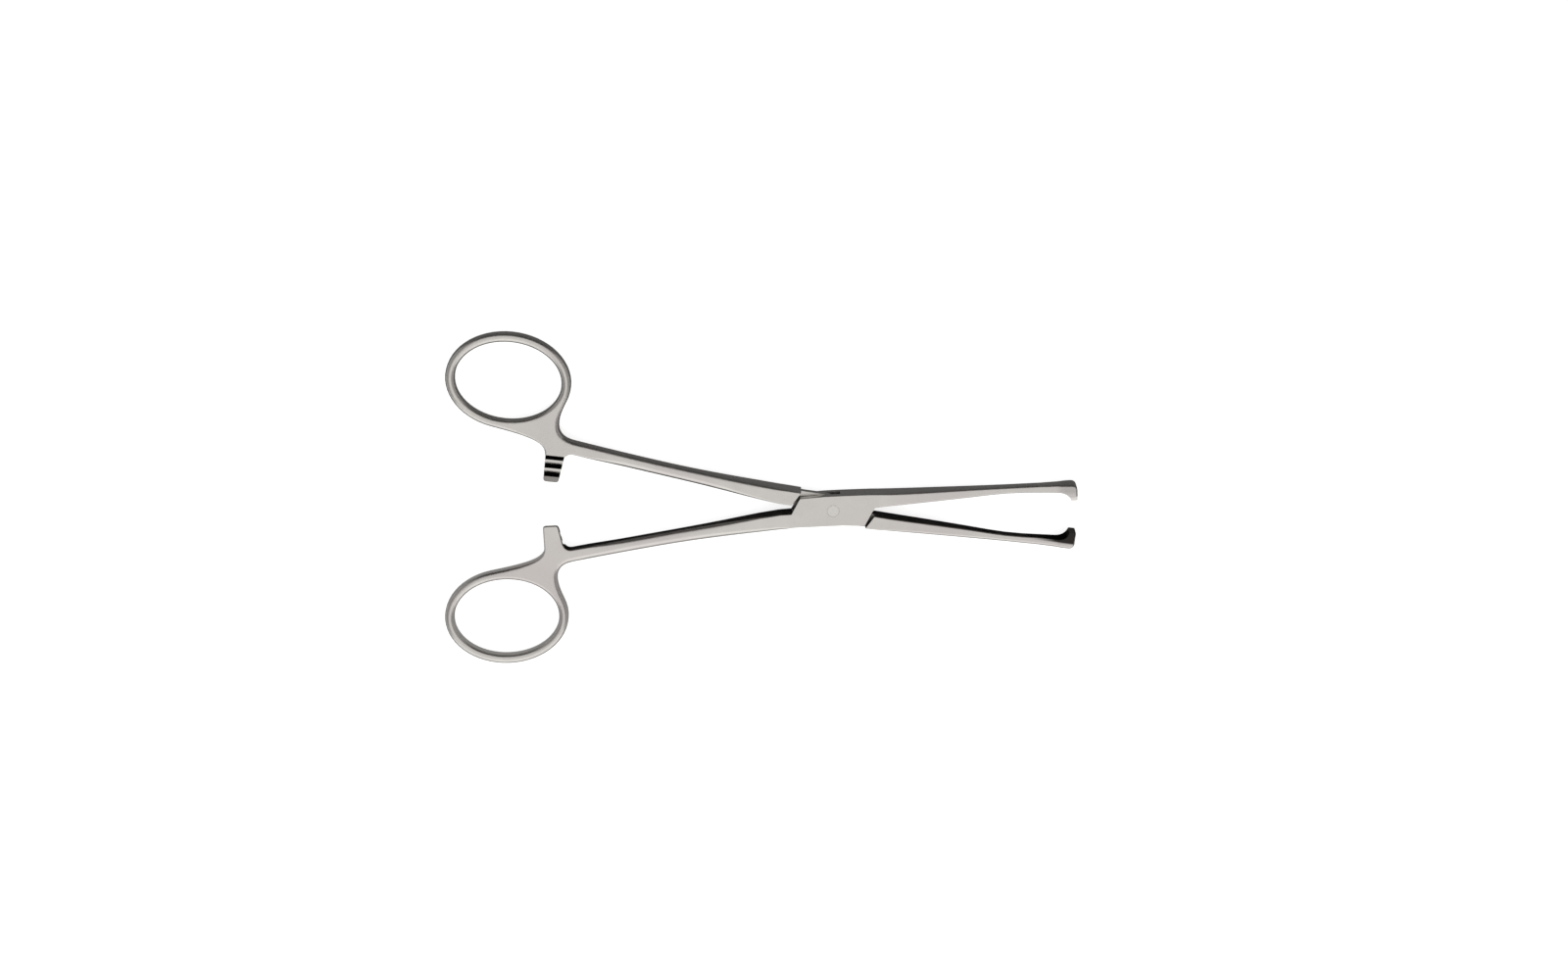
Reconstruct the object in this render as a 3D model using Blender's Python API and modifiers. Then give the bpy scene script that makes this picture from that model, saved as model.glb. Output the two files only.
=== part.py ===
"""Toothed tissue forceps with a box lock and finger rings, lying flat and open.

Metres, +Z up. The pivot axis is the Z axis, and z = 0 is the surface that the lower face of the box lies on.
Each half is drawn closed, about its middle plane, with the tooth line on the X axis, its handle towards -Y
and its jaw towards +Y. The male half is turned over about the X axis, and both are opened about the pivot.
"""

import math

import bmesh
import bpy
from mathutils import Vector

MM = 0.001

# Whole instrument
HALF_OPENING = math.radians(4.45)  # each half, from closed to the resting pose
FULL_OPENING = math.radians(58.0)  # between closed and the stop in the box

# Box lock
BOX_THICKNESS = 5.8 * MM
BOX_WAIST = 3.85 * MM  # centre line to the side of the box, at the pivot
BOX_NEAR_CORNER = 3.6 * MM  # centre line to the obtuse corner, handle end
BOX_FAR_CORNER = 4.25 * MM  # centre line to the obtuse corner, jaw end
BOX_END = 10.15 * MM  # pivot to the slanted end of the box, along the centre line
BOX_END_ANGLE = math.radians(60.0)
BOX_ROUNDING = 0.22 * MM
SHOULDER_GAP = 0.35 * MM  # closed, between the end of the box and the shoulder of the male half
WEB_THICKNESS = 1.9 * MM
WEB_PLAY = 0.1 * MM  # on each face of the web
WEB_EDGE = 2.85 * MM  # pivot to the long edge of the web
WEB_EDGE_ANGLE = math.radians(18.0)
WEB_SIDE = 3.55 * MM  # centre line to the outer side of the web
SLOT_PLAY = 0.12 * MM  # between the edges of the web and the side walls of the slot
CROTCH = 0.32 * MM  # closed, centre line to the inner edge where shank and jaw leave the box

# Pivot pin
PIN_DIAMETER = 2.4 * MM
PIN_HEAD_DIAMETER = 2.9 * MM
PIN_HEAD_DEPTH = 0.7 * MM
PIN_SEAT_GAP = 0.04 * MM
PIN_RUNNING_GAP = 0.06 * MM
PIN_FACETS = 48

# Shank
SHANK_WIDTH = 3.35 * MM
SHANK_ROOT_WIDTH = 3.9 * MM  # where it leaves the box
SHANK_ROUNDING = 1.5 * MM
SHOULDER_ROUNDING = 0.9 * MM  # outer edge, next to the box
SHANK_START_OFFSET = 2.03 * MM  # closed, centre line of the shank where it leaves the box
SHANK_START_SLOPE = math.radians(5.4)
SHANK_END_SLOPE = math.radians(8.75)
SHANK_REACH = 65.2 * MM  # pivot to the neck
SHANK_ROWS = 13

# Finger ring and neck
HANDLE_THICKNESS = 3.4 * MM
RING_REACH = 82.6 * MM  # pivot to the centre of the ring, along the centre line
RING_OFFSET = 24.0 * MM  # closed, centre line to the centre of the ring
RING_HOLE_LENGTH = 26.2 * MM
RING_HOLE_WIDTH = 19.6 * MM
RING_BAND = 2.35 * MM
RING_ROUNDING = 1.08 * MM
RING_STATIONS = 60
NECK_RIGHT_STATION = 3  # stations of the ring where the sides of the neck leave it
NECK_LEFT_STATION = 17

# Ratchet
RATCHET_ARM_WIDTH = 3.75 * MM  # at the tip
RATCHET_ARM_FLARE = 0.9 * MM  # how much wider the arm is at its root
RATCHET_ARM_END = 71.95 * MM  # pivot to the far side of the arm
RATCHET_ROOT = 6.5 * MM  # centre line to the step at the root of the teeth
RATCHET_OVERREACH = 0.7 * MM  # tip of the male arm past the centre line
RATCHET_SHORTFALL = 0.75 * MM  # tip of the female arm short of it
RATCHET_TEETH = 3
RATCHET_PITCH = 2.15 * MM
RATCHET_LAND = 0.6 * MM
RATCHET_DEPTH = 1.05 * MM
RATCHET_GAP = 0.1 * MM  # between the two rows of teeth
RATCHET_ROUNDING = 0.35 * MM
RATCHET_TIP_RADIUS = 0.7 * MM

# Jaw arm
JAW_BACK = 3.7 * MM  # closed, centre line to the back of the jaw
JAW_REACH = 60.4 * MM  # pivot to the front of the blade
JAW_NARROWEST = 1.72 * MM
JAW_NARROWEST_AT = 44.5 * MM
JAW_THICKNESS = 3.4 * MM
JAW_BACK_ROUNDING = 0.8 * MM
JAW_INNER_ROUNDING = 0.4 * MM
JAW_ROWS = 11

# Cross blade and teeth
BLADE_WIDTH = 5.4 * MM
BLADE_THICKNESS = 1.6 * MM
BLADE_ROOT = 4.7 * MM  # length of the flare behind the blade
BLADE_ROUNDING = 0.16 * MM  # towards the jaw
BLADE_FRONT_ROUNDING = 0.45 * MM
BLADE_CORNER_RADIUS = 1.4 * MM  # in plan, where the back turns into the front of the blade
BLADE_CORNER_ROWS = 6
BLADE_RUN_ROWS = 2  # on each side of the corner
TOOTH_COUNT = 5  # on the female jaw, and one more on the male
TOOTH_DEPTH = 1.25 * MM
TOOTH_GAP = 0.22 * MM  # closed, between the two rows of teeth

BEVEL_SEGMENTS = 4
CUTTER_MARGIN = 3.0 * MM
WELD = 0.0001 * MM

STEEL_COLOUR = (0.60, 0.59, 0.565, 1.0)
PIN_COLOUR = (0.66, 0.65, 0.63, 1.0)


def clear_scene():
    for obj in list(bpy.data.objects):
        bpy.data.objects.remove(obj, do_unlink=True)


def new_collection(name):
    made = bpy.data.collections.new(name)
    bpy.context.scene.collection.children.link(made)
    return made


def steel(name, colour, roughness):
    material = bpy.data.materials.new(name)
    material.use_nodes = True
    shader = material.node_tree.nodes["Principled BSDF"]
    shader.inputs["Base Color"].default_value = colour
    shader.inputs["Metallic"].default_value = 1.0
    shader.inputs["Roughness"].default_value = roughness
    return material


def add_object(name, mesh, group, parent=None):
    obj = bpy.data.objects.new(name, mesh)
    group.objects.link(obj)
    obj.parent = parent
    return obj


def mixed(a, b, share):
    return a + (b - a) * share


def smooth_value(x, knots):
    """Value at x of the smooth curve through (x, value) knots. It never overshoots them."""
    if x <= knots[0][0]:
        return knots[0][1]
    if x >= knots[-1][0]:
        return knots[-1][1]
    slopes = [(b[1] - a[1]) / (b[0] - a[0]) for a, b in zip(knots, knots[1:])]
    tangents = [0.0]
    for before, after in zip(slopes, slopes[1:]):
        product = before * after
        tangents.append(2 * product / (before + after) if product > 0 else 0.0)
    tangents.append(0.0)
    i = next(i for i in range(len(slopes)) if x <= knots[i + 1][0])
    step = knots[i + 1][0] - knots[i][0]
    rise = knots[i + 1][1] - knots[i][1]
    t = (x - knots[i][0]) / step
    bend = (1 - t) * (step * tangents[i] - rise) + t * (rise - step * tangents[i + 1])
    return knots[i][1] + t * rise + t * (1 - t) * bend


def bezier(p0, p1, p2, p3, share):
    """Point of a cubic curve with these four control points."""
    q = 1 - share
    return p0 * q**3 + p1 * 3 * q * q * share + p2 * 3 * q * share**2 + p3 * share**3


def inner_points(p0, p1, p2, p3, count):
    """Points of a cubic curve between its two ends."""
    return [bezier(p0, p1, p2, p3, i / (count + 1)) for i in range(1, count + 1)]


def rounded_corner(before, corner, after, radius, count):
    """Points of the arc that rounds a corner between two straight runs."""
    u = (before - corner).normalized()
    v = (after - corner).normalized()
    half = u.angle(v) / 2
    reach = radius / math.tan(half)
    start = corner + u * reach
    end = corner + v * reach
    pull = 4 / 3 * math.tan((math.pi - 2 * half) / 4) * radius
    return [bezier(start, start - u * pull, end - v * pull, end, i / count) for i in range(count + 1)]


def meeting(normal_a, distance_a, normal_b, distance_b):
    """Where two lines meet, each given by the angle of its normal and its distance from the pivot."""
    ca, sa, cb, sb = math.cos(normal_a), math.sin(normal_a), math.cos(normal_b), math.sin(normal_b)
    scale = ca * sb - sa * cb
    return Vector(((distance_a * sb - distance_b * sa) / scale, (distance_b * ca - distance_a * cb) / scale))


# Plan of one half, closed, handle towards -Y and jaw towards +Y. A row is the pair of points where one cross
# section meets the -Y and the +Y edge of the half.


def slant(y):
    """How far along X the slanted end of the box has moved at this y."""
    return y / math.tan(BOX_END_ANGLE)


def shank_centre(x):
    """Centre line of the shank, bending outwards from the box to the neck."""
    run = SHANK_REACH - BOX_END
    first = math.tan(SHANK_START_SLOPE) * run
    last = math.tan(SHANK_END_SLOPE) * run
    total = (first + last) / 2
    share = (-BOX_END - x) / run
    return -SHANK_START_OFFSET - bezier(0.0, first / 3, total - last / 3, total, share)


def shank_row(x):
    centre = shank_centre(x)
    width = smooth_value(x, ((-0.7 * SHANK_REACH, SHANK_WIDTH), (-BOX_END - BOX_WAIST, SHANK_ROOT_WIDTH)))
    return Vector((x, centre - width / 2)), Vector((x, centre + width / 2))


def shank_rows():
    last = -BOX_END - BOX_WAIST
    return [shank_row(mixed(-SHANK_REACH, last, i / (SHANK_ROWS - 1))) for i in range(SHANK_ROWS)]


def jaw_inner(x):
    """Inner edge of the jaw arm, between the box and the flare of the blade."""
    waist = JAW_BACK - JAW_NARROWEST
    return smooth_value(
        x,
        (
            (BOX_END - BOX_WAIST, CROTCH),
            (mixed(BOX_END, JAW_NARROWEST_AT, 0.3), mixed(CROTCH, waist, 0.3)),
            (mixed(BOX_END, JAW_NARROWEST_AT, 0.65), mixed(CROTCH, waist, 0.65)),
            (JAW_NARROWEST_AT, waist),
            (JAW_REACH - BLADE_ROOT, mixed(CROTCH, waist, 0.8)),
        ),
    )


def jaw_rows():
    first, last = BOX_END + BOX_WAIST, JAW_REACH - BLADE_ROOT
    places = [mixed(first, last, i / (JAW_ROWS - 1)) for i in range(JAW_ROWS)]
    return [(Vector((x, jaw_inner(x))), Vector((x, JAW_BACK))) for x in places]


def tooth_line():
    """Height of the tips of the teeth, a little past the centre line."""
    return (TOOTH_GAP - TOOTH_DEPTH) / 2


def blade_rows():
    """The jaw bends inwards and ends in a straight edge, which the teeth are cut in."""
    flare = JAW_REACH - BLADE_ROOT
    inner_start = Vector((flare, jaw_inner(flare)))
    inner_end = Vector((JAW_REACH - BLADE_THICKNESS, tooth_line()))
    inner_heel = Vector((mixed(flare, inner_end.x, 0.85), mixed(inner_start.y, inner_end.y, 0.2)))
    back_start = Vector((flare, JAW_BACK))
    back_heel = Vector((JAW_REACH, JAW_BACK))
    back_end = Vector((JAW_REACH, tooth_line()))
    corner = rounded_corner(back_start, back_heel, back_end, BLADE_CORNER_RADIUS, BLADE_CORNER_ROWS - 1)
    shares = [i / (BLADE_RUN_ROWS + 1) for i in range(1, BLADE_RUN_ROWS + 1)]
    backs = [mixed(back_start, corner[0], share) for share in shares]
    backs += corner
    backs += [mixed(corner[-1], back_end, share) for share in shares] + [back_end]
    inners = inner_points(
        inner_start,
        mixed(inner_start, Vector((inner_heel.x, inner_start.y)), 0.7),
        mixed(inner_heel, inner_end, 0.25),
        inner_end,
        len(backs) - 1,
    )
    return list(zip(inners + [inner_end], backs))


def female_box_rows():
    """The box, whose ends are cut on the slant."""
    near_bottom = Vector((-BOX_END - slant(CROTCH), -CROTCH))
    near_top = Vector((-BOX_END + slant(BOX_NEAR_CORNER), BOX_NEAR_CORNER))
    far_bottom = Vector((BOX_END - slant(BOX_FAR_CORNER), -BOX_FAR_CORNER))
    far_top = Vector((BOX_END + slant(CROTCH), CROTCH))
    return [
        (shank_row(near_bottom.x - BOX_WAIST / 3)[0], near_bottom),
        (Vector((near_top.x - BOX_WAIST / 3, -BOX_WAIST)), near_top),
        (Vector((-0.3 * BOX_END, -BOX_WAIST)), Vector((-0.2 * BOX_END, BOX_WAIST))),
        (Vector((0.2 * BOX_END, -BOX_WAIST)), Vector((0.3 * BOX_END, BOX_WAIST))),
        (far_bottom, Vector((far_bottom.x + BOX_WAIST / 3, mixed(BOX_WAIST, JAW_BACK, 0.5)))),
        (far_top, Vector((far_top.x + BOX_WAIST / 3, JAW_BACK))),
    ]


def web_edge(x):
    """The long edge of the web on the +Y side, which rises towards the jaw."""
    return WEB_EDGE / math.cos(WEB_EDGE_ANGLE) + x * math.tan(WEB_EDGE_ANGLE)


def web_edge_place(y):
    return (y - WEB_EDGE / math.cos(WEB_EDGE_ANGLE)) / math.tan(WEB_EDGE_ANGLE)


def male_box_rows():
    """The web, a band that runs aslant between the handle side and the jaw side."""
    crotch = Vector((web_edge_place(-CROTCH), -CROTCH))
    corner = Vector((web_edge_place(WEB_SIDE), WEB_SIDE))
    places = [mixed(crotch.x, corner.x, share) for share in (0.36, 0.68)]
    edge = [Vector((x, web_edge(x))) for x in places]
    side_x = 0.72 * BOX_END
    return [
        (shank_row(crotch.x - BOX_WAIST / 3)[0], crotch),
        (Vector((-side_x, -mixed(WEB_SIDE, BOX_WAIST, 0.6))), edge[0]),
        (-corner, edge[1]),
        (-edge[1], corner),
        (-edge[0], Vector((side_x, mixed(WEB_SIDE, JAW_BACK, 0.8)))),
        (-crotch, Vector((-crotch.x + BOX_WAIST / 3, JAW_BACK))),
    ]


def half_thickness(x):
    return smooth_value(
        x,
        (
            (-0.6 * SHANK_REACH, HANDLE_THICKNESS / 2),
            (-BOX_END - BOX_WAIST, 0.97 * BOX_THICKNESS / 2),
            (-BOX_END, BOX_THICKNESS / 2),
            (BOX_END, BOX_THICKNESS / 2),
            (JAW_NARROWEST_AT, JAW_THICKNESS / 2),
            (JAW_REACH - 1.5 * BLADE_ROOT, JAW_THICKNESS / 2),
            (JAW_REACH - BLADE_THICKNESS, BLADE_WIDTH / 2),
        ),
    )


def minus_rounding(x):
    """Radius of the long edges on the -Y side: outside of the shank, inside of the jaw."""
    return smooth_value(
        x,
        (
            (-0.5 * SHANK_REACH, SHANK_ROUNDING),
            (-BOX_END - BOX_WAIST, SHOULDER_ROUNDING),
            (-BOX_END, BOX_ROUNDING),
            (BOX_END, BOX_ROUNDING),
            (BOX_END + 3 * BOX_WAIST, JAW_INNER_ROUNDING),
            (JAW_NARROWEST_AT, JAW_INNER_ROUNDING),
            (JAW_REACH - BLADE_ROOT / 2, BLADE_ROUNDING),
        ),
    )


def plus_rounding(x):
    """Radius of the long edges on the +Y side: inside of the shank, back of the jaw."""
    return smooth_value(
        x,
        (
            (-0.93 * SHANK_REACH, RATCHET_ROUNDING),
            (-0.78 * SHANK_REACH, SHANK_ROUNDING),
            (-0.5 * SHANK_REACH, SHANK_ROUNDING),
            (-BOX_END - 2 * BOX_WAIST, JAW_INNER_ROUNDING),
            (-BOX_END, BOX_ROUNDING),
            (BOX_END, BOX_ROUNDING),
            (BOX_END + 3 * BOX_WAIST, JAW_BACK_ROUNDING),
            (JAW_REACH - BLADE_CORNER_RADIUS, JAW_BACK_ROUNDING),
            (JAW_REACH, BLADE_FRONT_ROUNDING),
        ),
    )


def ring_point(station, grown):
    """Point on the ellipse of the ring hole, grown outwards by this much."""
    angle = 2 * math.pi * station / RING_STATIONS
    x = -RING_REACH + (RING_HOLE_LENGTH / 2 + grown) * math.cos(angle)
    y = -RING_OFFSET + (RING_HOLE_WIDTH / 2 + grown) * math.sin(angle)
    return Vector((x, y))


def ring_heading(station):
    """Unit tangent of the outside of the ring, anticlockwise."""
    return (ring_point(station + 0.1, RING_BAND) - ring_point(station - 0.1, RING_BAND)).normalized()


def neck_right_side():
    """From the ring to the outer edge of the shank."""
    start = ring_point(NECK_RIGHT_STATION, RING_BAND)
    end, _ = shank_row(-SHANK_REACH)
    height = end.y - start.y
    heading = Vector((math.cos(SHANK_END_SLOPE), math.sin(SHANK_END_SLOPE)))
    return inner_points(
        start,
        start + ring_heading(NECK_RIGHT_STATION) * 0.74 * height,
        end - heading * 0.4 * height,
        end,
        11,
    )


def ratchet_arm(tip):
    """From the inner edge of the shank round the ratchet arm to its far side."""
    _, start = shank_row(-SHANK_REACH)
    far_x = -RATCHET_ARM_END
    near_tip = Vector((far_x + RATCHET_ARM_WIDTH, tip))
    far_tip = Vector((far_x, tip))
    root = Vector((near_tip.x + RATCHET_ARM_FLARE, -RATCHET_ROOT + RATCHET_ARM_FLARE))
    up = (near_tip - root).normalized()
    back = Vector((-math.cos(SHANK_END_SLOPE), -math.sin(SHANK_END_SLOPE)))
    first_pull = start + back * 0.55 * (start.x - root.x)
    fillet = inner_points(start, first_pull, root - up * RATCHET_ARM_FLARE, root, 4)
    tip_corner = rounded_corner(root, near_tip, far_tip, RATCHET_TIP_RADIUS, 4)
    far_corner = rounded_corner(near_tip, far_tip, Vector((far_x, -RATCHET_ROOT)), RATCHET_TIP_RADIUS, 4)
    return fillet + [root] + tip_corner + far_corner


def neck_left_side():
    """From the far side of the ratchet arm back to the ring."""
    start = Vector((-RATCHET_ARM_END, -RATCHET_ROOT))
    end = ring_point(NECK_LEFT_STATION, RING_BAND)
    depth = start.y - end.y
    reach = start.x - end.x
    return inner_points(
        start,
        start + Vector((0.0, -0.64 * depth)),
        end - ring_heading(NECK_LEFT_STATION) * 0.58 * reach,
        end,
        12,
    )


def half_layout(box_rows, tip):
    """The plan as points, each with its half thickness and edge radius, and the faces between them."""
    layout = Layout()
    rows = [
        (
            layout.add(low, half_thickness(low.x), minus_rounding(low.x)),
            layout.add(high, half_thickness(high.x), plus_rounding(high.x)),
        )
        for low, high in shank_rows() + box_rows + jaw_rows() + blade_rows()
    ]
    for (a, b), (c, d) in zip(rows, rows[1:]):
        layout.faces.append((a, c, d, b))
    thick = HANDLE_THICKNESS / 2
    neck = range(NECK_RIGHT_STATION + 1, NECK_LEFT_STATION)
    outside = {
        i: layout.add(ring_point(i, RING_BAND), thick, RING_ROUNDING)
        for i in range(RING_STATIONS)
        if i not in neck
    }
    inside = [layout.add(ring_point(i, 0.0), thick, RING_ROUNDING) for i in range(RING_STATIONS)]
    for station in range(NECK_LEFT_STATION, RING_STATIONS + NECK_RIGHT_STATION):
        i, j = station % RING_STATIONS, (station + 1) % RING_STATIONS
        layout.faces.append((inside[i], outside[i], outside[j], inside[j]))
    right = layout.add_run(neck_right_side(), thick, RING_ROUNDING, SHANK_ROUNDING)
    arm = layout.add_run(ratchet_arm(tip), thick, RATCHET_ROUNDING, RATCHET_ROUNDING)
    arm.append(layout.add(Vector((-RATCHET_ARM_END, -RATCHET_ROOT)), thick, RATCHET_ROUNDING))
    left = layout.add_run(neck_left_side(), thick, RATCHET_ROUNDING, RING_ROUNDING)
    hole = inside[NECK_RIGHT_STATION : NECK_LEFT_STATION + 1]
    hole_side = [outside[NECK_LEFT_STATION]] + hole[::-1] + [outside[NECK_RIGHT_STATION]]
    layout.faces.append(tuple(right + list(rows[0]) + arm + left + hole_side))
    return layout


class Layout:
    """Points and faces in plan. Both sides of the half are made from them."""

    def __init__(self):
        self.points = []
        self.thicknesses = []
        self.roundings = []
        self.faces = []

    def add(self, point, half_thick, radius):
        self.points.append(point)
        self.thicknesses.append(half_thick)
        self.roundings.append(radius)
        return len(self.points) - 1

    def add_run(self, points, half_thick, first_radius, last_radius):
        """Points along an edge whose radius changes evenly from the first to the last."""
        last = max(len(points) - 1, 1)
        return [
            self.add(point, half_thick, mixed(first_radius, last_radius, i / last))
            for i, point in enumerate(points)
        ]


def forged_mesh(name, layout):
    """A closed body between the two sides, with the edge radii stored as bevel weights."""
    body = bmesh.new()
    upper = [body.verts.new((p.x, p.y, t)) for p, t in zip(layout.points, layout.thicknesses)]
    lower = [body.verts.new((p.x, p.y, -t)) for p, t in zip(layout.points, layout.thicknesses)]
    used = {}
    for face in layout.faces:
        body.faces.new([upper[i] for i in face])
        body.faces.new([lower[i] for i in reversed(face)])
        for a, b in zip(face, face[1:] + face[:1]):
            used[(a, b)] = (b, a) not in used
            if not used[(a, b)]:
                used[(b, a)] = False
    weights = body.edges.layers.float.new("bevel_weight_edge")
    widest = max(layout.roundings)
    for (a, b), is_rim in used.items():
        if not is_rim:
            continue
        body.faces.new((upper[b], upper[a], lower[a], lower[b]))
        weight = (layout.roundings[a] + layout.roundings[b]) / 2 / widest
        for side in (upper, lower):
            body.edges.get((side[a], side[b]))[weights] = weight
    bmesh.ops.recalc_face_normals(body, faces=body.faces)
    mesh = bpy.data.meshes.new(name)
    body.to_mesh(mesh)
    body.free()
    return mesh, widest


def forged_half(name, box_rows, tip, material, group):
    """One forging: shank, box, jaw, neck and ring with rounded edges."""
    mesh, widest = forged_mesh(name, half_layout(box_rows, tip))
    mesh.materials.append(material)
    half = add_object(name, mesh, group)
    bevel = half.modifiers.new("rounded_edges", "BEVEL")
    bevel.limit_method = "WEIGHT"
    bevel.width = widest
    bevel.segments = BEVEL_SEGMENTS
    bevel.use_clamp_overlap = False
    bevel.loop_slide = False
    return half


# Cutters


def prism(name, outline, depth, group, parent):
    """A closed flat outline in X and Y with its depth evenly about z = 0, as a mesh."""
    curve = bpy.data.curves.new(name + "_outline", "CURVE")
    curve.dimensions = "2D"
    curve.fill_mode = "BOTH"
    curve.extrude = depth / 2
    spline = curve.splines.new("POLY")
    spline.points.add(len(outline) - 1)
    for point, (x, y) in zip(spline.points, outline):
        point.co = (x, y, 0.0, 1.0)
    spline.use_cyclic_u = True
    source = add_object(name + "_outline", curve, group)
    bpy.context.view_layer.update()
    graph = bpy.context.evaluated_depsgraph_get()
    mesh = bpy.data.meshes.new_from_object(source.evaluated_get(graph))
    bpy.data.objects.remove(source, do_unlink=True)
    solid = bmesh.new()
    solid.from_mesh(mesh)
    bmesh.ops.remove_doubles(solid, verts=solid.verts, dist=WELD)
    bmesh.ops.recalc_face_normals(solid, faces=solid.faces)
    solid.to_mesh(mesh)
    solid.free()
    return add_object(name, mesh, group, parent)


def turned(name, profile, group, parent):
    """A solid turned about the Z axis from (radius, z) points that run from top to bottom."""
    mesh = bpy.data.meshes.new(name)
    outline = [(0.0, profile[0][1])] + list(profile) + [(0.0, profile[-1][1])]
    edges = [(i, i + 1) for i in range(len(outline) - 1)]
    mesh.from_pydata([(radius, 0.0, z) for radius, z in outline], edges, [])
    obj = add_object(name, mesh, group, parent)
    screw = obj.modifiers.new("turned", "SCREW")
    screw.steps = PIN_FACETS
    screw.render_steps = PIN_FACETS
    screw.use_merge_vertices = True
    screw.merge_threshold = WELD
    screw.use_smooth_shade = False
    return obj


def cut(target, cutter):
    cutter.hide_render = True
    cutter.display_type = "WIRE"
    modifier = target.modifiers.new(cutter.name, "BOOLEAN")
    modifier.operation = "DIFFERENCE"
    modifier.solver = "EXACT"
    modifier.object = cutter


def slot_outline():
    """All that the web sweeps in the box between closed and the stop, and the open ends of the slot."""
    edge_reach = WEB_EDGE + SLOT_PLAY
    side_reach = WEB_SIDE + SLOT_PLAY
    closed_edge = math.radians(-90.0) - WEB_EDGE_ANGLE
    closed_side = math.radians(-90.0)
    far = BOX_END + CUTTER_MARGIN
    wide = BOX_FAR_CORNER + CUTTER_MARGIN
    wall_start = meeting(closed_edge, edge_reach, math.pi, far)
    apex = meeting(closed_edge, edge_reach, closed_edge - FULL_OPENING, edge_reach)
    knee = meeting(closed_edge - FULL_OPENING, edge_reach, closed_side - FULL_OPENING, side_reach)
    wall_end = meeting(closed_side - FULL_OPENING, side_reach, closed_side, wide)
    half = [wall_start, apex, knee, wall_end, Vector((far, -wide))]
    return half + [-point for point in half]


def cut_slot(half, group):
    thickness = WEB_THICKNESS + 2 * WEB_PLAY
    cut(half, prism("slot_cutter", slot_outline(), thickness, group, half))


def shoulder_outline():
    """The length of the male half that lies inside the box."""
    wide = BOX_FAR_CORNER + CUTTER_MARGIN
    end = BOX_END + SHOULDER_GAP / math.sin(BOX_END_ANGLE)
    return [
        (-end + slant(wide), -wide),
        (end + slant(wide), -wide),
        (end - slant(wide), wide),
        (-end - slant(wide), wide),
    ]


def cut_web(half, group):
    """Takes the middle of the male half down to the web, from both sides."""
    for name, side in (("upper_web_cutter", 1), ("lower_web_cutter", -1)):
        cutter = prism(name, shoulder_outline(), BOX_THICKNESS, group, half)
        cutter.location.z = side * (WEB_THICKNESS + BOX_THICKNESS) / 2
        cut(half, cutter)


def ratchet_outline(tip):
    """Section of the space below the ratchet arm: ramps that rise to the root, each with a flat land."""
    crest = RATCHET_GAP / 2
    root = crest + RATCHET_DEPTH
    deep = HANDLE_THICKNESS / 2 + CUTTER_MARGIN
    outline = [(-RATCHET_ROOT, -deep), (-RATCHET_ROOT, crest)]
    place = -RATCHET_ROOT
    for tooth in range(RATCHET_TEETH):
        if tooth:
            outline.append((place + RATCHET_LAND, crest))
            place += RATCHET_LAND
        place += RATCHET_PITCH - RATCHET_LAND
        outline.append((place, root))
        outline.append((place, crest))
    outline.append((tip + CUTTER_MARGIN, crest))
    outline.append((tip + CUTTER_MARGIN, -deep))
    return outline


def cut_ratchet(half, name, tip, group):
    width = RATCHET_ARM_WIDTH + 2 * RATCHET_ARM_FLARE + CUTTER_MARGIN
    cutter = prism(name, ratchet_outline(tip), width, group, half)
    cutter.rotation_euler = (math.radians(90.0), 0.0, math.radians(90.0))
    near_side = -RATCHET_ARM_END + RATCHET_ARM_WIDTH + 1.5 * RATCHET_ARM_FLARE
    cutter.location.x = near_side - width / 2
    cut(half, cutter)


def tooth_outline(notches):
    """Section of the notches across the blade. The outer notches stay open to its sides."""
    pitch = BLADE_WIDTH / (TOOTH_COUNT + 1)
    crest = tooth_line() - TOOTH_DEPTH / 8
    root = tooth_line() + TOOTH_DEPTH
    wide = BLADE_WIDTH / 2 + CUTTER_MARGIN
    first = -pitch * (notches - 1) / 2
    outline = [(-wide, crest - CUTTER_MARGIN), (-wide, root), (first, root)]
    for i in range(1, notches):
        outline.append((first + (i - 0.5) * pitch, crest))
        outline.append((first + i * pitch, root))
    return outline + [(wide, root), (wide, crest - CUTTER_MARGIN)]


def cut_teeth(half, name, notches, group):
    cutter = prism(name, tooth_outline(notches), BLADE_THICKNESS + CUTTER_MARGIN, group, half)
    cutter.rotation_euler = (0.0, math.radians(-90.0), 0.0)
    cutter.location.x = JAW_REACH - BLADE_THICKNESS / 2
    cut(half, cutter)


def pin_profile(gap, beyond):
    """Shaft with a countersunk end each side, which reach past the faces of the box by this much."""
    face = BOX_THICKNESS / 2
    head = PIN_HEAD_DIAMETER / 2 + gap
    shaft = PIN_DIAMETER / 2 + gap
    flare = (head - shaft) / PIN_HEAD_DEPTH
    upper = [(head + flare * beyond, face + beyond), (shaft, face - PIN_HEAD_DEPTH)]
    return upper + [(radius, -z) for radius, z in reversed(upper)]


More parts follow.
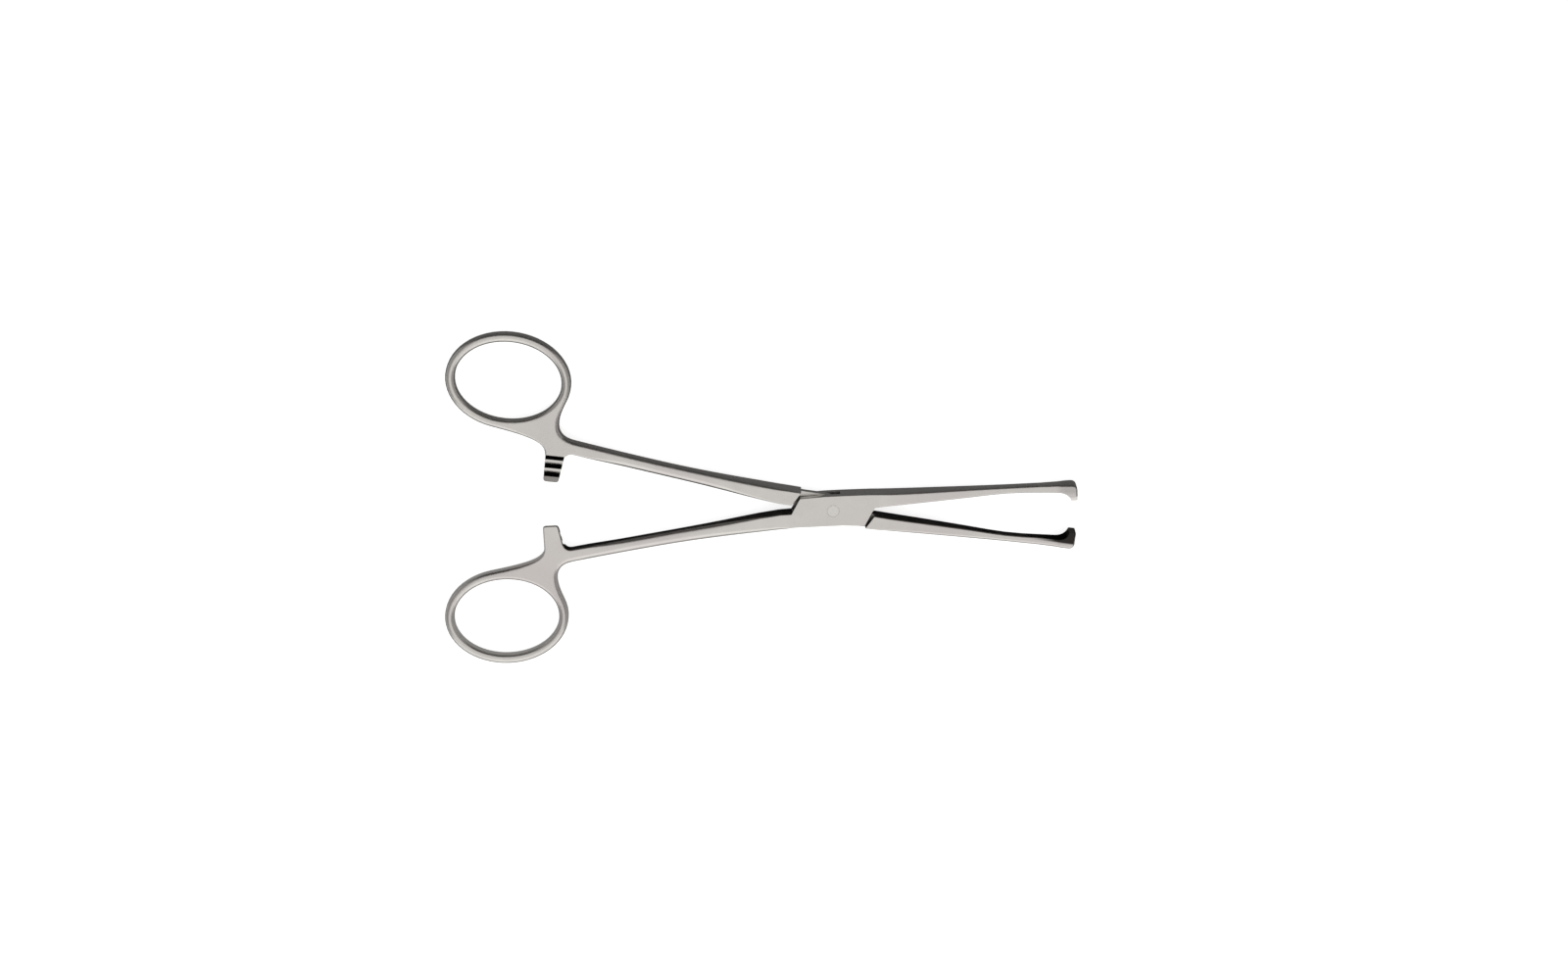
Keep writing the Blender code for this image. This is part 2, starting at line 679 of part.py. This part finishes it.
def build():
    clear_scene()
    parts = new_collection("tissue_forceps")
    cutters = new_collection("tissue_forceps_cutters")
    satin = steel("satin_steel", STEEL_COLOUR, 0.32)
    peened = steel("peened_steel", PIN_COLOUR, 0.28)

    female = forged_half("female_half", female_box_rows(), -RATCHET_SHORTFALL, satin, parts)
    female.location.z = BOX_THICKNESS / 2
    female.rotation_euler = (0.0, 0.0, HALF_OPENING)
    cut_slot(female, cutters)
    cut(female, turned("pin_seat_cutter", pin_profile(PIN_SEAT_GAP, PIN_HEAD_DEPTH), cutters, female))
    cut_ratchet(female, "female_ratchet_cutter", -RATCHET_SHORTFALL, cutters)
    cut_teeth(female, "female_tooth_cutter", TOOTH_COUNT + 1, cutters)

    male = forged_half("male_half", male_box_rows(), RATCHET_OVERREACH, satin, parts)
    male.location.z = BOX_THICKNESS / 2
    male.rotation_euler = (math.pi, 0.0, -HALF_OPENING)
    cut_web(male, cutters)
    bore = PIN_DIAMETER / 2 + PIN_RUNNING_GAP
    cut(male, turned("bore_cutter", [(bore, WEB_THICKNESS), (bore, -WEB_THICKNESS)], cutters, male))
    cut_ratchet(male, "male_ratchet_cutter", RATCHET_OVERREACH, cutters)
    cut_teeth(male, "male_tooth_cutter", TOOTH_COUNT + 2, cutters)

    pin = turned("pivot_pin", pin_profile(0.0, 0.0), parts, None)
    pin.data.materials.append(peened)
    pin.location.z = BOX_THICKNESS / 2
    pin.rotation_euler = (0.0, 0.0, HALF_OPENING)


build()
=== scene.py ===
"""Satin steel tissue forceps, open on a white sheet, seen 16 degrees off the vertical."""

import math

import bpy
from mathutils import Matrix, Vector

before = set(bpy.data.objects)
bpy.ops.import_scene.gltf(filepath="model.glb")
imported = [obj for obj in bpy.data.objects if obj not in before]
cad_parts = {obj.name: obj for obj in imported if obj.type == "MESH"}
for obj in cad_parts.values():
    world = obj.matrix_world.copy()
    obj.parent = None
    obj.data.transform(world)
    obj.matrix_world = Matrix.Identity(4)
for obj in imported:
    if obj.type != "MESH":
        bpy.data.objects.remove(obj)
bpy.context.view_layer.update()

MM = 0.001
HALF_OPENING = math.radians(4.45)
BOX_THICKNESS = 5.8 * MM
WHITE = (1.0, 1.0, 1.0, 1.0)
BLACK = (0.0, 0.0, 0.0, 1.0)

# Smooth shading: the angle of a sharp edge, the seams that close and the pull of large faces
SHADE_ANGLE = math.radians(25.0)
SEAM_WIDTH = 0.001 * MM
FLAT_WEIGHT = 90

# Colours of the steel and its painted shade, its roughness, and the direction of the grain on the
# pin
STEEL = (0.60, 0.578, 0.545, 1.0)
STEEL_DULL = (0.55, 0.53, 0.505, 1.0)
STEEL_ROSY = (0.53, 0.485, 0.475, 1.0)
PEENED = (0.62, 0.61, 0.58, 1.0)
# Painted shade: the near-black that the gaps, ratchet valleys and blade ends are darkened towards
PAINTED_SHADE_COLOUR = (0.03, 0.027, 0.025, 1.0)
HALF_ROUGHNESS = 0.30
PIN_ROUGHNESS = 0.26
PIN_GRAIN = math.radians(70.0)

# Patterns in the steel: the scale, detail and roughness of each noise
GRAIN = (700.0, 4.0, 0.65)
BLAST = (5200.0, 2.0, 0.6)
CLOUDS = (130.0, 3.0, 0.55)
HUES = (60.0, 2.0, 0.5)
ALONG_GRAIN = (1.0, 14.0, 14.0)
UNSTRETCHED = (1.0, 1.0, 1.0)

# What the patterns do: the span of a noise that counts, and how much it changes
NOISE_SPAN = (0.3, 0.7)
LIGHT_SPAN = (0.3, 0.62)
ROSY_SPAN = (0.4, 0.65)
ROSY_SHARE = 0.55
GRAIN_ROUGHNESS = 0.035
CLOUD_ROUGHNESS = 0.03

# Bumps: their strength and height
GROOVES = (0.16, 0.012 * MM)
PITS = (0.12, 0.008 * MM)

# Worn edges: their radius, the cosines between which the wear comes in, and what it smooths
WEAR_RADIUS = 0.12 * MM
WEAR_SPAN = (0.985, 0.86)
WEAR_SMOOTHING = 0.11
WEAR_SAMPLES = 6

# Painted shade in the gaps of the box lock and the valleys of the ratchet, where the surface is
# less open: their width, and how open the surface is where the painted shade begins and where it
# is full
GAP_REACH = 0.9 * MM
GAP_OPENNESS = (0.94, 0.55)
VALLEY_REACH = 1.6 * MM
VALLEY_OPENNESS = (0.98, 0.90)
OPENNESS_SAMPLES = 8
RATCHET_START = -64.0 * MM
RATCHET_FADE = 1.0 * MM
WEB_SIDE = 3.0 * MM
WEB_FADE = 0.3 * MM

# Painted shade on the ends (a painted dark reflection), in millimetres in the half's own closed
# frame: the ramp along the arm, the ramp across it and the share. A face that looks this much
# along X is kept out.
FEMALE_SHADES = [((55.0, 57.5), (1.0, 2.0), 0.22)]
MALE_SHADES = [
    ((49.0, 55.5), (-2.55, -2.15), 1.0),
    ((-60.0, -61.0), (1.7, 1.1), 0.6),
]
FRONT_SPAN = (0.25, 0.75)

# Background: its level as light on the forceps, and as the camera and mirrors see it
WORLD_LEVELS = (0.55, 1.0)
FLOOR_LEVELS = (0.0, 0.72)
FLOOR_COLOUR = (0.86, 0.86, 0.86, 1.0)
FLOOR_HALF_SIDE = 6.0
FLOOR_DEPTH = 0.2 * MM

# Cards that lie under the forceps and show only in the steel, lighter in front than behind: name,
# corners and depth in millimetres, level
LOW_CARDS = [
    ("card_near", [(-400, -400), (400, -400), (400, 0), (-400, 0)], 0.1, 0.38),
    ("card_far", [(-400, 0), (400, 0), (400, 400), (-400, 400)], 0.1, 0.14),
    # Painted shade: two near-black sheets between the halves, where the floor lies in their shade
    ("card_shanks", [(-67, -14.4), (-3, -1.6), (-3, 1.6), (-67, 14.4)], 0.05, 0.006),
    ("card_jaws", [(3, -1.6), (62, -6.8), (62, 6.8), (3, 1.6)], 0.05, 0.006),
]

# Cards that stand around them: name, half sizes and place in metres, level
HIGH_CARDS = [
    ("card_behind", (1.6, 0.64), (0.0, 1.08, 0.526), 0.07),
    ("card_front", (1.6, 0.45), (0.0, -1.0, 0.62), 1.35),
    ("card_left", (1.2, 0.60), (-1.0, 0.0, 0.70), 0.36),
    ("card_right", (1.2, 0.60), (1.0, 0.0, 0.70), 0.36),
]

# The one lamp, in metres and watts
KEY_PLACE = (0.0, -0.55, 1.2)
KEY_SIZE = (1.1, 0.7)
KEY_POWER = 2.6

# Camera, from the side of the male half's ring
CAMERA_PLACE = (-18.63 * MM, 232.97 * MM, 800.75 * MM)
CAMERA_AIM = (-12.24 * MM, 4.28 * MM, BOX_THICKNESS / 2)
CAMERA_UP = (-0.0279, 0.9996, 0.0)
CAMERA_LENS = 77.13
CAMERA_SENSOR = 36.0
CAMERA_CLIP = (0.01, 50.0)


# Node helpers


def fill(target, **inputs):
    """Sets sockets of a node by their names, with _ for a space."""
    for name, value in inputs.items():
        target.inputs[name.replace("_", " ")].default_value = value


def node(tree, kind, **inputs):
    """A new node whose named sockets hold these values."""
    made = tree.nodes.new(kind)
    fill(made, **inputs)
    return made


def link(tree, source, target):
    """Joins an output to an input."""
    tree.links.new(source, target)


def noise(tree, vector, scale, detail, roughness):
    """Noise on these coordinates."""
    made = node(tree, "ShaderNodeTexNoise", Scale=scale, Detail=detail, Roughness=roughness)
    link(tree, vector, made.inputs["Vector"])
    return made.outputs["Fac"]


def remapped(tree, value, span, result=(0.0, 1.0)):
    """The value brought from its span to the result's, and held inside that."""
    made = tree.nodes.new("ShaderNodeMapRange")
    fill(made, From_Min=span[0], From_Max=span[1], To_Min=result[0], To_Max=result[1])
    link(tree, value, made.inputs["Value"])
    return made.outputs["Result"]


def mixed(tree, data_type, share, first, second):
    """The first moved towards the second by this share. Each is a socket or a constant."""
    mix = tree.nodes.new("ShaderNodeMix")
    mix.data_type = data_type
    link(tree, share, mix.inputs["Factor"])
    for name, value in (("A", first), ("B", second)):
        if isinstance(value, bpy.types.NodeSocket):
            link(tree, value, mix.inputs[name])
        else:
            mix.inputs[name].default_value = value
    return mix.outputs["Result"]


def combined(tree, operation, first, second):
    """The result of a calculation with two sockets."""
    both = tree.nodes.new("ShaderNodeMath")
    both.operation = operation
    link(tree, first, both.inputs[0])
    link(tree, second, both.inputs[1])
    return both.outputs["Value"]


def separated(tree, vector):
    """The X, Y and Z of a vector."""
    apart = tree.nodes.new("ShaderNodeSeparateXYZ")
    link(tree, vector, apart.inputs["Vector"])
    return apart.outputs


def bumped(tree, height, strength, distance, normal=None):
    """The normal of a surface with this height on it."""
    bump = node(tree, "ShaderNodeBump", Strength=strength, Distance=distance)
    link(tree, height, bump.inputs["Height"])
    if normal is not None:
        link(tree, normal, bump.inputs["Normal"])
    return bump.outputs["Normal"]


def new_material(name):
    """A material, its node tree and its shader."""
    material = bpy.data.materials.new(name)
    material.use_nodes = True
    tree = material.node_tree
    return material, tree, tree.nodes["Principled BSDF"]


# Steel


def turned_coordinates(tree, angle, stretch):
    """Object coordinates turned about Z and squeezed, so that a pattern runs along an arm."""
    coordinates = tree.nodes.new("ShaderNodeTexCoord")
    turn = node(tree, "ShaderNodeMapping", Rotation=(0.0, 0.0, -angle))
    squeeze = node(tree, "ShaderNodeMapping", Scale=stretch)
    link(tree, coordinates.outputs["Object"], turn.inputs["Vector"])
    link(tree, turn.outputs["Vector"], squeeze.inputs["Vector"])
    return squeeze.outputs["Vector"]


def edge_wear(tree):
    """From 0 on a face to 1 on an edge, where the rounded normal leans away from the true."""
    rounded = node(tree, "ShaderNodeBevel", Radius=WEAR_RADIUS)
    rounded.samples = WEAR_SAMPLES
    geometry = tree.nodes.new("ShaderNodeNewGeometry")
    lean = tree.nodes.new("ShaderNodeVectorMath")
    lean.operation = "DOT_PRODUCT"
    link(tree, rounded.outputs["Normal"], lean.inputs[0])
    link(tree, geometry.outputs["Normal"], lean.inputs[1])
    return remapped(tree, lean.outputs["Value"], WEAR_SPAN)


def hidden_share(tree, reach, openness, only_local):
    """From 0 on an open face to 1 in a groove or gap about this wide."""
    hidden = node(tree, "ShaderNodeAmbientOcclusion", Distance=reach)
    hidden.samples = OPENNESS_SAMPLES
    hidden.only_local = only_local
    return remapped(tree, hidden.outputs["AO"], openness)


def painted_recess_shade(tree, unshaded_web):
    """Painted shade in the dark places: the gaps of the box lock and, towards the rings, the
    ratchet's valleys.

    With this flag set, the outer side keeps none of the gaps' painted shade, because there the
    web shows.
    """
    gaps = hidden_share(tree, GAP_REACH, GAP_OPENNESS, False)
    valleys = hidden_share(tree, VALLEY_REACH, VALLEY_OPENNESS, True)
    apart = separated(tree, tree.nodes.new("ShaderNodeTexCoord").outputs["Object"])
    if unshaded_web:
        inner = remapped(tree, apart["Y"], (WEB_SIDE, WEB_SIDE + WEB_FADE), (1.0, 0.0))
        gaps = combined(tree, "MULTIPLY", gaps, inner)
    zone = remapped(tree, apart["X"], (RATCHET_START, RATCHET_START - RATCHET_FADE))
    return mixed(tree, "FLOAT", zone, gaps, valleys)


def shaded_end(tree, place, along, across, share):
    """The share of painted shade that comes in over a ramp along the arm and one across it,
    except on its front.
    """
    apart = separated(tree, place)
    reached = remapped(tree, apart["X"], [edge * MM for edge in along], (0.0, share))
    inside = remapped(tree, apart["Y"], [edge * MM for edge in across])
    leaning = separated(tree, tree.nodes.new("ShaderNodeTexCoord").outputs["Normal"])
    beside = remapped(tree, leaning["X"], FRONT_SPAN, (1.0, 0.0))
    return combined(tree, "MULTIPLY", combined(tree, "MULTIPLY", reached, inside), beside)


def satin_steel(name, light, dull, grain_angle, roughness, shades=(), unshaded_web=False):
    """Brushed and blasted stainless: a grain along the arm, fine pits, clouds, smoother edges,
    and painted shade in the gaps, valleys and ends.
    """
    material, tree, shader = new_material(name)
    fill(shader, Metallic=1.0)

    along = turned_coordinates(tree, grain_angle, ALONG_GRAIN)
    even = turned_coordinates(tree, grain_angle, UNSTRETCHED)
    grain = noise(tree, along, *GRAIN)
    blast = noise(tree, even, *BLAST)
    clouds = noise(tree, even, *CLOUDS)
    hues = noise(tree, even, *HUES)

    tint = mixed(tree, "RGBA", remapped(tree, clouds, LIGHT_SPAN), dull, light)
    rosy_share = remapped(tree, hues, ROSY_SPAN, (0.0, ROSY_SHARE))
    rosy = mixed(tree, "RGBA", rosy_share, tint, STEEL_ROSY)
    # Painted shade: gaps, ratchet valleys and the listed ends are darkened towards the painted
    # shade colour
    dark = painted_recess_shade(tree, unshaded_web)
    for shade in shades:
        dark = combined(tree, "MAXIMUM", dark, shaded_end(tree, even, *shade))
    link(tree, mixed(tree, "RGBA", dark, rosy, PAINTED_SHADE_COLOUR), shader.inputs["Base Color"])

    limits = (roughness - GRAIN_ROUGHNESS, roughness + GRAIN_ROUGHNESS)
    rough = remapped(tree, grain, NOISE_SPAN, limits)
    patchy = remapped(tree, clouds, NOISE_SPAN, (-CLOUD_ROUGHNESS, CLOUD_ROUGHNESS))
    both = combined(tree, "ADD", rough, patchy)
    worn = mixed(tree, "FLOAT", edge_wear(tree), both, roughness - WEAR_SMOOTHING)
    link(tree, worn, shader.inputs["Roughness"])

    grooves = bumped(tree, grain, *GROOVES)
    pits = bumped(tree, blast, *PITS, normal=grooves)
    link(tree, pits, shader.inputs["Normal"])
    return material


# Surfaces of the CAD nodes


def smooth_shading():
    """Joins the faces of a node and shades them smooth, with its sharp edges kept."""
    group = bpy.data.node_groups.new("smooth_shading", "GeometryNodeTree")
    for direction in ("INPUT", "OUTPUT"):
        group.interface.new_socket(
            "Geometry", in_out=direction, socket_type="NodeSocketGeometry"
        )
    start = group.nodes.new("NodeGroupInput")
    end = group.nodes.new("NodeGroupOutput")
    bare = node(group, "GeometryNodeRemoveAttribute", Name="custom_normal")
    merged = node(group, "GeometryNodeMergeByDistance", Distance=SEAM_WIDTH)
    faces = group.nodes.new("GeometryNodeSetShadeSmooth")
    faces.domain = "FACE"
    edges = node(group, "GeometryNodeSetShadeSmooth", Shade_Smooth=False)
    edges.domain = "EDGE"
    angle = group.nodes.new("GeometryNodeInputMeshEdgeAngle")
    sharp = group.nodes.new("FunctionNodeCompare")
    sharp.operation = "GREATER_THAN"
    fill(sharp, B=SHADE_ANGLE)
    link(group, angle.outputs["Unsigned Angle"], sharp.inputs["A"])
    link(group, sharp.outputs["Result"], edges.inputs["Selection"])
    chain = [start, bare, merged, faces, edges, end]
    for before, after in zip(chain, chain[1:]):
        link(group, before.outputs["Geometry"], after.inputs["Geometry"])
    return group


def finish_node(name, material, shading):
    """Gives a CAD node its material and shading."""
    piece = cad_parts[name]
    piece.data.materials.clear()
    piece.data.materials.append(material)
    smooth = piece.modifiers.new("smooth_shading", "NODES")
    smooth.node_group = shading
    flats = piece.modifiers.new("flat_faces", "WEIGHTED_NORMAL")
    flats.keep_sharp = True
    flats.weight = FLAT_WEIGHT


def dress_forceps():
    """Steel for both halves, each with its grain along its own arm, and for the pin."""
    halves = (STEEL, STEEL_DULL)
    female = satin_steel(
        "female_satin", *halves, HALF_OPENING, HALF_ROUGHNESS, FEMALE_SHADES
    )
    male = satin_steel(
        "male_satin", *halves, -HALF_OPENING, HALF_ROUGHNESS, MALE_SHADES, unshaded_web=True
    )
    pin = satin_steel("pin_satin", PEENED, STEEL, PIN_GRAIN, PIN_ROUGHNESS)
    shading = smooth_shading()
    finish_node("female_half", female, shading)
    finish_node("male_half", male, shading)
    finish_node("pivot_pin", pin, shading)


# Studio


def sees_background(tree):
    """1 for rays that come straight from the camera or by way of metal or glass."""
    path = tree.nodes.new("ShaderNodeLightPath").outputs
    either = combined(tree, "MAXIMUM", path["Is Camera Ray"], path["Is Glossy Ray"])
    return combined(tree, "MAXIMUM", either, path["Is Transmission Ray"])


def make_world():
    """Soft light from all around, and a white background."""
    world = bpy.data.worlds.new("studio")
    world.use_nodes = True
    bpy.context.scene.world = world
    tree = world.node_tree
    background = tree.nodes["Background"]
    fill(background, Color=WHITE)
    strength = remapped(tree, sees_background(tree), (0.0, 1.0), WORLD_LEVELS)
    link(tree, strength, background.inputs["Strength"])


def plain_mesh(name, corners, place=None):
    """A face of the studio, which isn't part of the forceps."""
    mesh = bpy.data.meshes.new(name)
    mesh.from_pydata(corners, [], [range(len(corners))])
    obj = bpy.data.objects.new(name, mesh)
    if place is not None:
        obj.matrix_world = place
    bpy.context.scene.collection.objects.link(obj)
    return obj


def rectangle(name, half_x, half_y, place):
    """A rectangle of the studio, with its middle at the place."""
    signs = [(-1.0, -1.0), (1.0, -1.0), (1.0, 1.0), (-1.0, 1.0)]
    return plain_mesh(name, [(x * half_x, y * half_y, 0.0) for x, y in signs], place)


def matt(shader, colour):
    """Makes a shader dull, with white for the light that it gives."""
    fill(shader, Base_Color=colour, Roughness=1.0, Specular_IOR_Level=0.0)
    fill(shader, Emission_Color=WHITE)


def make_floor():
    """A white sheet that takes the forceps' shadow."""
    place = Matrix.Translation((0.0, 0.0, -FLOOR_DEPTH))
    floor = rectangle("floor", FLOOR_HALF_SIDE, FLOOR_HALF_SIDE, place)
    material, tree, shader = new_material("white_sheet")
    matt(shader, FLOOR_COLOUR)
    glow = remapped(tree, sees_background(tree), (0.0, 1.0), FLOOR_LEVELS)
    link(tree, glow, shader.inputs["Emission Strength"])
    floor.data.materials.append(material)


def make_card(flag, level):
    """Makes it a card that only shows in the steel, as bright as its level."""
    material, _, shader = new_material(flag.name)
    matt(shader, BLACK)
    fill(shader, Emission_Strength=level)
    flag.data.materials.append(material)
    flag.visible_camera = False
    flag.visible_diffuse = False
    flag.visible_shadow = False
    flag.visible_transmission = False


def facing(place):
    """A place for a card or lamp whose front looks at the forceps."""
    place = Vector(place)
    ahead = Vector((0.0, 0.0, 0.0)) - place
    return Matrix.Translation(place) @ ahead.to_track_quat("-Z", "Y").to_matrix().to_4x4()


def softbox(name, place, size, power):
    """A lamp that looks at the forceps and doesn't show in them."""
    light = bpy.data.lights.new(name, "AREA")
    light.shape = "RECTANGLE"
    light.size, light.size_y = size
    light.energy = power
    lamp = bpy.data.objects.new(name, light)
    lamp.matrix_world = facing(place)
    lamp.visible_camera = False
    lamp.visible_glossy = False
    bpy.context.scene.collection.objects.link(lamp)


def make_studio():
    """World, floor, cards and lamp."""
    make_world()
    make_floor()
    for name, corners, depth, level in LOW_CARDS:
        corners = [(x * MM, y * MM, -depth * MM) for x, y in corners]
        make_card(plain_mesh(name, corners), level)
    for name, half_sizes, place, level in HIGH_CARDS:
        make_card(rectangle(name, *half_sizes, facing(place)), level)
    softbox("key", KEY_PLACE, KEY_SIZE, KEY_POWER)


def make_camera():
    """A camera at the photograph's viewing angle."""
    data = bpy.data.cameras.new("camera")
    data.lens = CAMERA_LENS
    data.sensor_width = CAMERA_SENSOR
    data.clip_start, data.clip_end = CAMERA_CLIP
    camera = bpy.data.objects.new("camera", data)
    bpy.context.scene.collection.objects.link(camera)
    ahead = (Vector(CAMERA_AIM) - Vector(CAMERA_PLACE)).normalized()
    right = ahead.cross(Vector(CAMERA_UP)).normalized()
    up = right.cross(ahead)
    turn = Matrix((right, up, -ahead)).transposed()
    camera.matrix_world = Matrix.Translation(CAMERA_PLACE) @ turn.to_4x4()
    bpy.context.scene.camera = camera


dress_forceps()
make_studio()
make_camera()
bpy.context.scene.view_settings.view_transform = "Standard"
